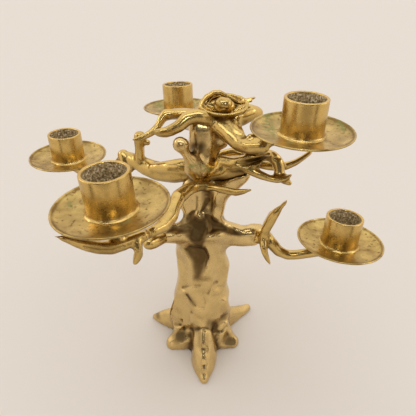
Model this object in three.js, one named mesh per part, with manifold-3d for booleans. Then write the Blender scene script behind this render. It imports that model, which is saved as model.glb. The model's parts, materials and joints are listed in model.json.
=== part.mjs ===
// A tree-shaped candelabra of cast brass that carries five candles.
// Millimetres, +Z up, +X to the right and +Y away from someone who faces its front root.
// While it is built, the foot of the trunk's axis is at the origin. The last lines move the whole
// group so that the origin is the middle of its footprint, on the table.

import * as THREE from "three";
import { mergeVertices } from "three/addons/utils/BufferGeometryUtils.js";
import Module from "manifold-3d";

const wasm = await Module();
wasm.setup();

// Candle cups and drip pans
const CANDLE_DIAMETER = 25;
const CANDLE_CLEARANCE = 0.2;
const CUP_WALL = 2.3;
const CUP_FLOOR = 2;
const CUP_HEIGHT = 25;
const RIM_ROUNDING = 0.7;
const CUP_INNER_CORNER = 0.8;
const PAN_RADIUS = 35.8;
const PAN_WALL = 1.5;
const PAN_RISE = 4.1;
const PAN_FLAT_BEYOND_CUP = 2;
// Where the pan's slope steepens, as shares of the slope's width and rise
const PAN_BEND = { out: 0.55, up: 0.33 };

// Screws that hold a cup and its pan on a branch, and the boss that each goes into
const SCREW_DIAMETER = 4;
const SCREW_BITE = 6;
const SCREW_HEAD_DIAMETER = 7.2;
const SCREW_HEAD_HEIGHT = 2.2;
const SCREW_SLOT_WIDTH = 1;
const SCREW_SLOT_DEPTH = 1;
const SCREW_SEAT_DEPTH = 0.6;
const SCREW_SEAT_CLEARANCE = 0.5;
const BOSS_DIAMETER = 13;
const BOSS_FOOT_DIAMETER = 9;
const BOSS_HEIGHT = 4.5;

// Clearance left all round a tenon in its socket, and between pieces that sit on each other
const JOINT_GAP = 0.3;

// The trunk is cast hollow and open at its foot: its least wall, and the hollow's width and height
const TRUNK_WALL = 5;
const HOLLOW_WIDTH = 30;
const HOLLOW_HEIGHT = 84;

// Faceting of the turned pieces and of the limbs
const PAN_SIDES = 24;
const CUP_SIDES = 20;
const SCREW_SIDES = 12;
const BOSS_SIDES = 16;
const TRUNK_SIDES = 16;
const BRANCH_SIDES = 9;
const TWIG_SIDES = 7;
const BALL_SIDES = 16;
const RING_PITCH = 10;
const TRUNK_RING_PITCH = 11;
const CAP_STEPS = 2;

// Where each pan sits: the middle of its boss's top face, and how far the seat leans
// about X and about Y, in degrees. Hand-set seats are never quite level.
const SEATS = {
  front_left: { place: [-53.7, -93.9, 213.6], lean: [1.3, -2.8] },
  left: { place: [-130.9, 55.2, 181.9], lean: [1.5, 0.6] },
  rear: { place: [-25.8, 101, 216.2], lean: [-2.7, -1.4] },
  upper_right: { place: [68.3, -38.1, 240.6], lean: [2.2, 1] },
  lower_right: { place: [115.5, -24.1, 138.4], lean: [-2.3, 2.9] },
};

// The limbs, each as stations along its middle line: across, away, up, half width and, where the
// section isn't round, half height. They are counted from a station of the limb that it grows
// on. A limb with a seat runs on into the boss of that seat. Limbs of one node are one casting.
const LIMBS = {
  column: {
    node: "trunk",
    sides: TRUNK_SIDES,
    stations: [
      [-2, 1, 0, 20, 19],
      [-2, 1, 30, 20, 19],
      [-3, 0, 37, 27, 24],
      [-4, 0, 48, 27.5, 24],
      [-2, 0, 62, 28, 23],
      [-2, 0, 80, 24, 21],
      [0, 0, 91, 26, 21],
      [-4, -1, 118, 22.5, 19],
      [-2, -3, 136, 22, 17],
      [0, -4, 148, 17, 13],
    ],
  },
  right_shoulder: {
    node: "trunk",
    on: ["column", 8],
    sides: BRANCH_SIDES,
    stations: [
      [10, 0, -3, 12.5],
      [24, 1, -4, 9.5],
      [38, -3, -4, 8],
      [48, -6, -2, 7],
    ],
  },
  left_shoulder: {
    node: "trunk",
    on: ["column", 8],
    sides: BRANCH_SIDES,
    stations: [
      [-6, -1, 0, 12],
      [-17, -7, 2, 8.5],
      [-28, -15, 7, 6.6],
    ],
  },
  left_stub: {
    node: "lower_left_stub",
    on: ["left_shoulder", 2],
    sides: BRANCH_SIDES,
    stations: [
      [3, 2, -1, 3.6],
      [-4, -5, 1, 4.4],
      [-9, -11, 3, 6.2],
      [-14, -18, 5, 5.6],
    ],
  },
  right_arm: {
    node: "lower_right_branch",
    on: ["right_shoulder", 3],
    seat: "lower_right",
    sides: BRANCH_SIDES,
    stations: [
      [-5, 1, 0, 3.6],
      [1, 0, 0, 4.4],
      [5, -2, 2, 6.6],
      [11, -5, 4, 6.3],
      [17, -7, -5, 5.2],
      [23, -8, -10, 4.7],
      [31, -9, -12, 4.4],
      [46, -11, -8, 4.4],
      [58, -13, -4, 4.5],
    ],
  },
  elbow_up_twig: {
    node: "lower_right_up_twig",
    on: ["right_arm", 3],
    stations: [
      [-1, 0, 2, 3],
      [-1, -1, 9, 3.9],
      [4, -2, 21, 4.5],
      [8, -3, 30, 3.6],
      [10, -3, 34, 2],
      [12, -4, 39, 0.8],
    ],
  },
  elbow_down_twig: {
    node: "lower_right_down_twig",
    on: ["right_arm", 3],
    stations: [
      [1, -3, 5, 2.4],
      [0, -6, 4, 3],
      [-3, -8, -4, 3.1],
      [-4, -9, -11, 3],
      [-1, -10, -17, 1.9],
      [2, -11, -21, 0.6],
    ],
  },
  right_strand: {
    node: "upper_trunk",
    on: ["column", 9],
    sides: BRANCH_SIDES,
    stations: [
      [2, 0, -10, 6],
      [8, 0, 2, 8.5],
      [10, 4, 15, 9],
      [12, 7, 26, 10],
      [12, 9, 39, 11.5],
      [4, 7, 52, 14],
    ],
  },
  left_strand: {
    node: "upper_trunk",
    on: ["column", 9],
    sides: BRANCH_SIDES,
    stations: [
      [-2, 0, -8, 7],
      [-4, 1, 5, 8.5],
      [-5, 4, 16, 8.5],
      [-6, 4, 29, 9],
      [-3, 5, 42, 11],
    ],
  },
  right_fork: {
    node: "upper_trunk",
    on: ["right_strand", 3],
    sides: BRANCH_SIDES,
    stations: [
      [0, -5, -4, 7],
      [5, -9, 8, 8.4],
      [12, -13, 18, 9],
      [19, -16, 26, 8],
    ],
  },
  neck: {
    node: "upper_trunk",
    on: ["right_strand", 5],
    sides: BRANCH_SIDES,
    stations: [
      [-3, -3, -6, 14],
      [-6, -3, 5, 11],
      [-8, -3, 15, 9.2],
      [-6, -3, 26, 9.4],
      [-3, -3, 36, 8.5],
    ],
  },
  neck_lump: {
    node: "upper_trunk",
    on: ["neck", 3],
    sides: BRANCH_SIDES,
    stations: [
      [0, 0, -5, 5],
      [7, 2, -3, 6.6],
      [13, 3, -2, 7],
      [18, 4, 0, 6],
    ],
  },
  saddle: {
    node: "saddle_knob",
    on: ["neck", 0],
    stations: [
      [-1, -10, 9, 4.8],
      [-7, -15, 15, 5.5],
      [-11, -20, 23, 4.4],
      [-14, -21, 28, 4.3],
      [-17, -21, 34, 5],
    ],
  },
  front_arm: {
    node: "front_branch",
    on: ["neck", 0],
    stations: [
      [2, -14, 0, 3.8],
      [-3, -20, 0, 5.1],
      [-11, -28, 0, 4.6],
      [-17, -38, 0, 4.2],
      [-21, -50, 0, 3.8],
      [-24, -61, -2, 3.5],
      [-30, -73, -5, 3.7],
      [-39, -84, -5, 3.9],
      [-50, -94, -3, 3.7],
      [-59, -100, -2, 3.4],
      [-66, -104, 2, 2.9],
      [-72, -108, 7, 2.2],
      [-78, -112, 12, 1.5],
      [-84, -115, 16, 0.6],
    ],
  },
  front_stem: {
    node: "front_branch",
    on: ["front_arm", 8],
    seat: "front_left",
    stations: [
      [-1, 0, 1, 3.2],
      [-4, 0, 9, 3.6],
    ],
  },
  hanging_twig: {
    node: "hanging_twig",
    on: ["front_arm", 7],
    stations: [
      [-3, -3, 1, 1.8],
      [-3, -7, 0, 2.9],
      [-3, -9, -4, 2.6],
      [-2, -10, -8, 2.2],
      [-4, -11, -12, 1.8],
      [-5, -12, -14, 1],
    ],
  },
  front_right_twig: {
    node: "front_right_twig",
    on: ["neck", 0],
    stations: [
      [-1, -17, 0, 1.6],
      [5, -24, 0, 2.1],
      [11, -31, 1, 2.2],
      [19, -37, 2, 2],
      [26, -41, 3, 1.8],
      [31, -44, 7, 1.5],
      [34, -46, 9, 0.7],
    ],
  },
  left_arm: {
    node: "left_branch",
    on: ["neck", 0],
    seat: "left",
    sides: BRANCH_SIDES,
    stations: [
      [-6, 3, 0, 7],
      [-21, 5, -1, 9.6],
      [-33, 12, -5, 8.9],
      [-46, 18, -5, 8.4],
      [-59, 24, -1, 7],
      [-69, 30, 1, 5.6],
      [-76, 34, -3, 4.8],
      [-81, 37, -10, 4.3],
      [-90, 41, -18, 4.3],
      [-103, 46, -24, 4.4],
      [-116, 51, -24, 4.4],
      [-127, 54, -20, 4.2],
    ],
  },
  left_knob: {
    node: "left_knob",
    on: ["left_arm", 4],
    stations: [
      [1, 0, 2, 3],
      [2, -1, 7, 4.1],
      [3, -2, 13, 3.7],
      [4, -4, 22, 3.4],
      [5, -6, 27, 3.9],
    ],
  },
  left_back_knob: {
    node: "left_back_knob",
    on: ["left_arm", 4],
    stations: [
      [1, 1, -2, 1.6],
      [4, 2, -2, 2],
      [7, 2, -2, 2.8],
    ],
  },
  mid_right_arm: {
    node: "mid_right_branch",
    on: ["neck", 0],
    sides: BRANCH_SIDES,
    stations: [
      [2, -2, 5, 6],
      [9, -5, 6, 9],
      [17, -9, 9, 9.8],
      [27, -14, 13, 8.7],
      [35, -19, 19, 6],
      [42, -22, 24, 3.6],
      [48, -25, 27, 2.8],
    ],
  },
  mid_right_tip: {
    node: "mid_right_tip",
    on: ["mid_right_arm", 5],
    stations: [
      [-5, 2, -3, 1.4],
      [1, -1, 0, 2.3],
      [6, -4, 0, 2.8],
      [8, -8, -3, 3.4],
      [8, -12, -8, 2.9],
      [10, -15, -13, 2.6],
      [15, -18, -14, 1.4],
    ],
  },
  mid_right_claw: {
    node: "mid_right_claw",
    on: ["mid_right_arm", 3],
    stations: [
      [-5, 3, -3, 2.8],
      [4, -1, -3, 3.4],
      [11, -3, -3, 3.2],
      [17, -5, -4, 2.8],
      [23, -7, -6, 2.5],
      [30, -9, -8, 2],
      [36, -12, -5, 1.5],
      [40, -14, -1, 0.8],
    ],
  },
  mid_right_twig: {
    node: "mid_right_twig",
    on: ["neck", 0],
    stations: [
      [10, 4, 10, 3.6],
      [16, 7, 14, 4],
      [24, 9, 15, 4],
      [32, 7, 13, 3.9],
      [40, 1, 11, 3.8],
      [47, -5, 10, 3.7],
      [54, -10, 11, 3.8],
      [60, -13, 12, 3.6],
      [67, -15, 14, 3],
      [73, -14, 17, 2.4],
      [79, -13, 21, 2],
      [83, -12, 24, 1.6],
    ],
  },
  crown_body: {
    node: "crown",
    on: ["neck", 4],
    sides: BRANCH_SIDES,
    stations: [
      [-1, 3, 0, 6.6],
      [3, 3, 5, 8],
      [13, 1, 5, 9],
      [23, 0, 6, 9.4],
      [32, 3, 7, 7.4],
      [38, 6, 8, 6.4],
      [42, 9, 6, 5.2],
    ],
  },
  crown_left: {
    node: "crown_left_twig",
    on: ["crown_body", 0],
    stations: [
      [6, -6, 8, 4.6],
      [1, -8, 9, 5.8],
      [-4, -10.5, 9, 5.2],
      [-12, -13.5, 8, 4.3],
      [-17, -16, 4, 3.9],
      [-21, -17, 1, 3.5],
      [-27, -18, -2, 3.2],
      [-33, -18, -2, 2.6],
    ],
  },
  crown_back: {
    node: "crown_back_twig",
    on: ["crown_body", 0],
    stations: [
      [2, 5, 5, 3.2],
      [-6, 5, 6, 3.7],
      [-12, 5, 6, 4.4],
      [-19, 5, 6, 4.6],
      [-26, 3, 6, 4.2],
      [-31, 0, 4, 3.2],
    ],
  },
  crown_back_tip: {
    node: "crown_back_twig_tip",
    on: ["crown_back", 5],
    stations: [
      [3, 1, 1, 1.8],
      [-3, -3, -4, 2.7],
      [-6, -6, -8, 2.3],
      [-12, -10, -11, 1.9],
      [-17, -12, -13, 1.5],
      [-23, -14, -13, 0.6],
    ],
  },
  crown_right_arm: {
    node: "upper_right_branch",
    on: ["crown_body", 2],
    seat: "upper_right",
    sides: BRANCH_SIDES,
    stations: [
      [-2, -4, -1, 5.5],
      [5, -11, -7, 6.3],
      [10, -17, -11, 6.2],
      [17, -23, -13, 5.7],
      [24, -28, -11, 5.1],
      [32, -32, -7, 4.3],
      [42, -35, -4, 4],
    ],
  },
  arm_bump: {
    node: "upper_right_branch",
    on: ["crown_right_arm", 3],
    stations: [
      [2, -2, 2, 2.4],
      [3, -3, 7, 2.6],
      [6, -3, 8, 1.8],
    ],
  },
  rear_arm: {
    node: "rear_branch",
    on: ["neck", 2],
    seat: "rear",
    sides: BRANCH_SIDES,
    stations: [
      [0, 6, 13, 5],
      [-5, 25, 10, 4.4],
      [-9, 44, 5, 4.2],
      [-12, 61, -1, 4.1],
      [-16, 78, -5, 4.1],
    ],
  },
};

// Roots: the direction of each in degrees from +X, and its stations from the trunk's axis
// outwards: distance out, half width and height of the crest. Their undersides are flat.
const ROOTS = {
  front_root: {
    direction: 270,
    stations: [
      [12, 10, 46],
      [24, 13, 44],
      [34, 13.5, 34],
      [43, 11.5, 25],
      [50, 8.5, 15],
      [55, 5.5, 8],
    ],
  },
  front_right_root: {
    direction: 338,
    stations: [
      [10, 10, 34],
      [20, 12.5, 34],
      [26, 12, 25],
      [30.5, 9, 13],
    ],
  },
  right_root: {
    direction: 38,
    stations: [
      [12, 10, 30],
      [26, 10.5, 29],
      [40, 8.5, 17],
      [54, 7, 9.5],
      [63, 4.8, 7],
    ],
  },
  rear_root: {
    direction: 96,
    stations: [
      [12, 10, 30],
      [25, 12, 28],
      [40, 10.5, 18],
      [52, 7.5, 10],
      [60, 4.5, 6],
    ],
  },
  left_root: {
    direction: 156,
    stations: [
      [12, 10, 32],
      [26, 10.5, 31],
      [38, 9, 25],
      [52, 7, 15],
      [62, 3.5, 5],
    ],
  },
  front_left_root: {
    direction: 202,
    stations: [
      [10, 10, 36],
      [23, 12.5, 36],
      [30, 12, 27],
      [34.5, 9, 14],
    ],
  },
};
const ROOT_TENON = { from: 17, to: 27, height: 13, radius: 5.5 };

// The nest-like shell in the crown, and the burl that lies in it
const SHELL = { place: [16, -2, 253], lean: [22, 0], radii: [19.5, 13.5, 9], wall: 2.2 };
const SHELL_THORN = [
  [14, 3, -0.5, 1.8],
  [20, 5, 0, 1.3],
  [24, 6, 1, 0.7],
];
const BURL = { place: [0, -1.5, -1], radii: [8.4, 6.4, 4.8] };

// Hollows worn into the trunk and the neck: the station each is counted from, its middle,
// its half sizes and its turn about Y in degrees
const SCOOPS = [
  { node: "trunk", from: ["column", 7], offset: [-4, -24, -2], radii: [8, 9, 20], turn: -6 },
  { node: "trunk", from: ["column", 5], offset: [-2, -25, 2], radii: [11, 5.5, 4.5], turn: 12 },
  { node: "trunk", from: ["column", 4], offset: [2, -27, 3], radii: [2.5, 5, 12], turn: -35 },
  { node: "upper_trunk", from: ["neck", 3], offset: [-1, -9, -6], radii: [3.6, 4.5, 11], turn: 0 },
];

// Finish of the cast, spun and turned pieces
const BRASS = { metalness: 1, roughness: 0.3 };
const COLOURS = { limb: 0xc29a48, pan: 0xcfae5c, cup: 0xc4923a, screw: 0xa08040 };

const rad = THREE.MathUtils.degToRad;

// Corners closer than this are one corner
const SAME_PLACE = 1e-4;

// A closed geometry as a solid: shared corners are merged and empty faces left out.
function solid(geometry) {
  geometry.deleteAttribute("normal");
  geometry.deleteAttribute("uv");
  const merged = mergeVertices(geometry, SAME_PLACE);
  const corners = merged.index.array;
  const faces = [];
  for (let i = 0; i < corners.length; i += 3) {
    const [a, b, c] = corners.slice(i, i + 3);
    if (a !== b && b !== c && c !== a) faces.push(a, b, c);
  }
  const mesh = new wasm.Mesh({
    numProp: 3,
    vertProperties: new Float32Array(merged.attributes.position.array),
    triVerts: new Uint32Array(faces),
  });
  return new wasm.Manifold(mesh);
}

// Where two sockets nearly meet, a cut can leave a loose crumb. Only the casting itself is kept.
function withoutCrumbs(body) {
  const larger = (one, other) => (other.volume() > one.volume() ? other : one);
  return body.decompose().reduce(larger);
}

function geometryOf(body) {
  const mesh = body.getMesh();
  const corners = new Float32Array(mesh.vertProperties);
  const geometry = new THREE.BufferGeometry();
  geometry.setAttribute("position", new THREE.BufferAttribute(corners, 3));
  geometry.setIndex(new THREE.BufferAttribute(new Uint32Array(mesh.triVerts), 1));
  geometry.computeVertexNormals();
  return geometry;
}

// The frame of something that leans: its place, and its turns about X and Y in degrees.
function frameOf({ place, lean }) {
  const turn = new THREE.Quaternion().setFromEuler(new THREE.Euler(rad(lean[0]), rad(lean[1]), 0));
  return new THREE.Matrix4().compose(new THREE.Vector3(...place), turn, new THREE.Vector3(1, 1, 1));
}

// The middle of a station, counted from the origin.
function stationPlace([limbName, index]) {
  const limb = LIMBS[limbName];
  const base = limb.on ? stationPlace(limb.on) : new THREE.Vector3();
  const [x, y, z] = limb.stations[index];
  return base.add(new THREE.Vector3(x, y, z));
}

// A limb whose direction has a smaller level share than this counts as upright
const NEARLY_UPRIGHT = 0.3;

function row(centre, half, height = half) {
  return { centre, half, height };
}

// Every station of a limb, with the foot of its seat's boss as the last one.
function limbRows(limbName) {
  const limb = LIMBS[limbName];
  const rows = limb.stations.map(([, , , half, height], index) =>
    row(stationPlace([limbName, index]), half, height),
  );
  if (limb.seat) {
    const foot = new THREE.Vector3(0, 0, -BOSS_HEIGHT).applyMatrix4(frameOf(SEATS[limb.seat]));
    rows.push(row(foot, BOSS_FOOT_DIAMETER / 2));
  }
  return rows;
}

// A bar turned to the rows' thickness, rounded at both ends and bent along their middle line.
// A gap makes it that much thicker all over, which cuts the socket that the limb is let into.
function bentBar(rows, sides, gap = 0) {
  const ringPitch = sides < TRUNK_SIDES ? RING_PITCH : TRUNK_RING_PITCH;
  const path = new THREE.CatmullRomCurve3(rows.map(({ centre }) => centre), false, "centripetal");
  const halves = new THREE.SplineCurve(rows.map(({ half, height }) => new THREE.Vector2(half, height)));
  const steps = Math.max(rows.length, Math.ceil(path.getLength() / ringPitch));
  const rings = [];
  let side = null;
  for (let i = 0; i <= steps; i++) {
    const share = path.getUtoTmapping(i / steps);
    const along = path.getTangent(share);
    side = side ?? startSide(along);
    side.addScaledVector(along, -side.dot(along)).normalize();
    const size = halves.getPoint(share);
    const ring = row(path.getPoint(share), size.x + gap, size.y + gap);
    rings.push({ ...ring, along, side: side.clone() });
  }
  const capped = [...roundedEnd(rings[0], -1), ...rings, ...roundedEnd(rings[steps], 1)];
  const profile = capped.map((ring, index) => new THREE.Vector2(ring.half, index));
  profile[0].x = 0;
  profile[profile.length - 1].x = 0;
  const bar = new THREE.LatheGeometry(profile, sides);
  const place = bar.attributes.position;
  for (let i = 0; i < place.count; i++) {
    const ring = capped[Math.round(place.getY(i))];
    const rise = new THREE.Vector3().crossVectors(ring.along, ring.side);
    const flatness = ring.half > 0 ? ring.height / ring.half : 1;
    const moved = ring.centre.clone();
    moved.addScaledVector(rise, place.getX(i) * flatness);
    moved.addScaledVector(ring.side, place.getZ(i));
    place.setXYZ(i, moved.x, moved.y, moved.z);
  }
  return solid(bar);
}

// Sideways from the limb, and level where the limb isn't upright.
function startSide(along) {
  const level = new THREE.Vector3().crossVectors(along, new THREE.Vector3(0, 0, 1));
  return level.length() > NEARLY_UPRIGHT ? level.normalize() : new THREE.Vector3(1, 0, 0);
}

// Rings that close an end like a dome, from the ring at its foot outwards.
function roundedEnd(ring, sense) {
  const rings = [];
  const reach = Math.min(ring.half, ring.height);
  for (let step = 1; step <= CAP_STEPS; step++) {
    const angle = (Math.PI / 2) * (step / CAP_STEPS);
    rings.push({
      ...ring,
      centre: ring.centre.clone().addScaledVector(ring.along, sense * reach * Math.sin(angle)),
      half: ring.half * Math.cos(angle),
      height: ring.height * Math.cos(angle),
    });
  }
  return sense < 0 ? rings.reverse() : rings;
}

function limbBar(limbName, gap) {
  return bentBar(limbRows(limbName), LIMBS[limbName].sides ?? TWIG_SIDES, gap);
}

// A point a given way out from the trunk's axis, in a root's direction.
function outFrom(direction, out, up) {
  return new THREE.Vector3(out * Math.cos(rad(direction)), out * Math.sin(rad(direction)), up);
}

// Half of a root's bar is under the table, and is cut away.
function rootBar({ direction, stations }, gap) {
  const rows = stations.map(([out, half, crest]) => row(outFrom(direction, out, 0), half, crest));
  return bentBar(rows, BRANCH_SIDES, gap);
}

function rootTenon({ direction }, gap) {
  const { from, to, height, radius } = ROOT_TENON;
  return bentBar([from, to].map((out) => row(outFrom(direction, out, height), radius)), TWIG_SIDES, gap);
}

function block(size, centreHeight) {
  return new THREE.BoxGeometry(size, size, size).translate(0, 0, centreHeight);
}

const BEYOND_EVERYTHING = 400;
const BELOW_TABLE = solid(block(BEYOND_EVERYTHING, -BEYOND_EVERYTHING / 2));

// The trunk's hollow keeps its wall everywhere, and runs out below the table.
function trunkHollow() {
  const rows = limbRows("column").filter(({ centre }) => centre.z <= HOLLOW_HEIGHT);
  const within = (outer) => Math.min(outer - TRUNK_WALL, HOLLOW_WIDTH / 2);
  const inner = rows.map(({ centre, half, height }) => row(centre, within(half), within(height)));
  return bentBar(inner, TRUNK_SIDES);
}

function ball(radii) {
  return new THREE.SphereGeometry(1, BALL_SIDES, BALL_SIDES / 2).rotateX(Math.PI / 2).scale(...radii);
}

function scoopBall({ from, offset, radii, turn }) {
  const middle = stationPlace(from).add(new THREE.Vector3(...offset));
  return solid(ball(radii).rotateY(rad(turn)).translate(middle.x, middle.y, middle.z));
}

// The shell is the lower half of a hollow ellipsoid, open upwards, with a thorn on its rim.
function shellBody() {
  const inner = SHELL.radii.map((radius) => radius - SHELL.wall);
  const rows = SHELL_THORN.map(([x, y, z, half]) => row(new THREE.Vector3(x, y, z), half));
  return solid(ball(SHELL.radii))
    .subtract(solid(block(BEYOND_EVERYTHING, BEYOND_EVERYTHING / 2)))
    .add(bentBar(rows, TWIG_SIDES))
    .subtract(solid(ball(inner)));
}

// The room that the shell takes in the crown, with its clearance.
function shellSocket() {
  const outer = SHELL.radii.map((radius) => radius + JOINT_GAP);
  return solid(ball(outer).applyMatrix4(frameOf(SHELL)));
}

// The burl fills the bottom of the shell and keeps its clearance to it.
function burlBody() {
  const room = SHELL.radii.map((radius) => radius - SHELL.wall - JOINT_GAP);
  return solid(ball(BURL.radii).translate(...BURL.place)).intersect(solid(ball(room)));
}

// A turned piece on its own axis, whose profile closes on itself.
function turned(points, sides) {
  const profile = points.map(([radius, height]) => new THREE.Vector2(radius, height));
  profile.push(profile[0].clone());
  return new THREE.LatheGeometry(profile, sides).rotateX(Math.PI / 2);
}

function cylinder(topDiameter, footDiameter, height, sides) {
  return new THREE.CylinderGeometry(topDiameter / 2, footDiameter / 2, height, sides).rotateX(Math.PI / 2);
}

// Heights in a seat's own frame, counted from the boss's top face
const PAN_HEIGHT = JOINT_GAP;
const CUP_FOOT_HEIGHT = PAN_HEIGHT + PAN_WALL + JOINT_GAP;
const HEAD_FOOT_HEIGHT = CUP_FOOT_HEIGHT + CUP_FLOOR - SCREW_SEAT_DEPTH + JOINT_GAP;

const CUP_BORE = CANDLE_DIAMETER / 2 + CANDLE_CLEARANCE;
const CUP_RADIUS = CUP_BORE + CUP_WALL;
const SCREW_HOLE = SCREW_DIAMETER / 2 + JOINT_GAP;
const SCREW_SEAT = SCREW_HEAD_DIAMETER / 2 + SCREW_SEAT_CLEARANCE;

// A shallow dish, flat under the cup, whose slope steepens and whose edge is rounded.
function panGeometry() {
  const flat = CUP_RADIUS + PAN_FLAT_BEYOND_CUP;
  const bend = flat + (PAN_RADIUS - flat) * PAN_BEND.out;
  const bendRise = PAN_RISE * PAN_BEND.up;
  const rounding = PAN_WALL / 2;
  const underside = [
    [SCREW_HOLE, 0],
    [flat, 0],
    [bend, bendRise],
    [PAN_RADIUS - rounding / 2, PAN_RISE],
    [PAN_RADIUS, PAN_RISE + rounding],
  ];
  const upperSide = [
    [PAN_RADIUS - rounding, PAN_RISE + PAN_WALL],
    [PAN_RADIUS - PAN_WALL, PAN_RISE + rounding],
    [bend, bendRise + PAN_WALL],
    [flat, PAN_WALL],
    [SCREW_HOLE, PAN_WALL],
  ];
  return turned([...underside, ...upperSide], PAN_SIDES).translate(0, 0, PAN_HEIGHT);
}

// A plain tube with a rounded rim, and a floor with a shallow seat for the screw's head.
function cupGeometry() {
  const profile = [
    [SCREW_HOLE, 0],
    [CUP_RADIUS, 0],
    [CUP_RADIUS, CUP_HEIGHT - RIM_ROUNDING],
    [CUP_RADIUS - RIM_ROUNDING, CUP_HEIGHT],
    [CUP_BORE + RIM_ROUNDING, CUP_HEIGHT],
    [CUP_BORE, CUP_HEIGHT - RIM_ROUNDING],
    [CUP_BORE, CUP_FLOOR + CUP_INNER_CORNER],
    [CUP_BORE - CUP_INNER_CORNER, CUP_FLOOR],
    [SCREW_SEAT, CUP_FLOOR],
    [SCREW_SEAT, CUP_FLOOR - SCREW_SEAT_DEPTH],
    [SCREW_HOLE, CUP_FLOOR - SCREW_SEAT_DEPTH],
  ];
  return turned(profile, CUP_SIDES).translate(0, 0, CUP_FOOT_HEIGHT);
}

// A cheese-headed screw: its head on the cup's floor, its shank down through the pan into the boss.
function screwGeometry() {
  const headMiddle = HEAD_FOOT_HEIGHT + SCREW_HEAD_HEIGHT / 2;
  const shankLength = headMiddle + SCREW_BITE;
  const head = cylinder(SCREW_HEAD_DIAMETER, SCREW_HEAD_DIAMETER, SCREW_HEAD_HEIGHT, SCREW_SIDES);
  const shank = cylinder(SCREW_DIAMETER, SCREW_DIAMETER, shankLength, SCREW_SIDES);
  const slot = new THREE.BoxGeometry(SCREW_HEAD_DIAMETER * 2, SCREW_SLOT_WIDTH, SCREW_SLOT_DEPTH * 2);
  const body = solid(head.translate(0, 0, headMiddle))
    .add(solid(shank.translate(0, 0, headMiddle - shankLength / 2)))
    .subtract(solid(slot.translate(0, 0, HEAD_FOOT_HEIGHT + SCREW_HEAD_HEIGHT)));
  return geometryOf(body);
}

function bossBody(seat) {
  const boss = cylinder(BOSS_DIAMETER, BOSS_FOOT_DIAMETER, BOSS_HEIGHT, BOSS_SIDES);
  return solid(boss.translate(0, 0, -BOSS_HEIGHT / 2).applyMatrix4(frameOf(seat)));
}

function screwHole(seat) {
  const depth = SCREW_BITE + JOINT_GAP;
  const hole = cylinder(SCREW_HOLE * 2, SCREW_HOLE * 2, depth * 2, SCREW_SIDES);
  return solid(hole.applyMatrix4(frameOf(seat)));
}

// The castings, in the order of the limbs. Each limb adds to its casting's body, and, made thicker
// by the clearance, to the tool that cuts that casting's sockets into those before it.
const castings = new Map();
for (const [limbName, limb] of Object.entries(LIMBS)) {
  const before = castings.get(limb.node);
  const bar = limbBar(limbName);
  const grown = limbBar(limbName, JOINT_GAP);
  castings.set(limb.node, {
    body: before ? before.body.add(bar) : bar,
    tool: before ? before.tool.add(grown) : grown,
  });
}
for (const limb of Object.values(LIMBS)) {
  if (!limb.seat) continue;
  const casting = castings.get(limb.node);
  const seat = SEATS[limb.seat];
  casting.body = casting.body.add(bossBody(seat)).subtract(screwHole(seat));
}

const castingNames = [...castings.keys()];
castingNames.forEach((name, index) => {
  const casting = castings.get(name);
  for (const laterName of castingNames.slice(index + 1)) {
    casting.body = casting.body.subtract(castings.get(laterName).tool);
  }
  casting.body = casting.body.subtract(shellSocket());
});
for (const scoop of SCOOPS) {
  const casting = castings.get(scoop.node);
  casting.body = casting.body.subtract(scoopBall(scoop));
}

const trunk = castings.get("trunk");
trunk.body = trunk.body.subtract(trunkHollow()).subtract(BELOW_TABLE);

// The roots butt against the foot of the trunk and against each other, and each has a tenon.
const rootNames = Object.keys(ROOTS);
rootNames.forEach((name, index) => {
  const root = ROOTS[name];
  const next = ROOTS[rootNames[(index + 1) % rootNames.length]];
  const body = rootBar(root)
    .subtract(limbBar("column", JOINT_GAP))
    .subtract(rootBar(next, JOINT_GAP))
    .add(rootTenon(root))
    .subtract(BELOW_TABLE);
  castings.set(name, { body });
  trunk.body = trunk.body.subtract(rootTenon(root, JOINT_GAP));
});

const group = new THREE.Group();

function addPiece(name, geometry, color, parent = group) {
  const mesh = new THREE.Mesh(geometry, new THREE.MeshStandardMaterial({ color, ...BRASS }));
  mesh.name = name;
  parent.add(mesh);
}

for (const [name, { body }] of castings) addPiece(name, geometryOf(withoutCrumbs(body)), COLOURS.limb);

const nest = new THREE.Group();
nest.applyMatrix4(frameOf(SHELL));
addPiece("crown_shell", geometryOf(shellBody()), COLOURS.limb, nest);
addPiece("crown_burl", geometryOf(burlBody()), COLOURS.limb, nest);
group.add(nest);

for (const [seatName, seat] of Object.entries(SEATS)) {
  const stack = new THREE.Group();
  stack.applyMatrix4(frameOf(seat));
  addPiece(`${seatName}_pan`, panGeometry(), COLOURS.pan, stack);
  addPiece(`${seatName}_cup`, cupGeometry(), COLOURS.cup, stack);
  addPiece(`${seatName}_screw`, screwGeometry(), COLOURS.screw, stack);
  group.add(stack);
}

const box = new THREE.Box3().setFromObject(group, true);
const middle = box.getCenter(new THREE.Vector3());
group.position.set(-middle.x, -middle.y, -box.min.z);

export default group;
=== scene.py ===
"""The looks of a tree-shaped candelabra of cast brass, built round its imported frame.

Metres, +Z up, in the frame's own place. Sizes that describe the object are given in millimetres.
"""

import json
import math

import bmesh
import bpy
import numpy as np
from mathutils import Matrix, Vector, noise
from mathutils.bvhtree import BVHTree


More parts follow.
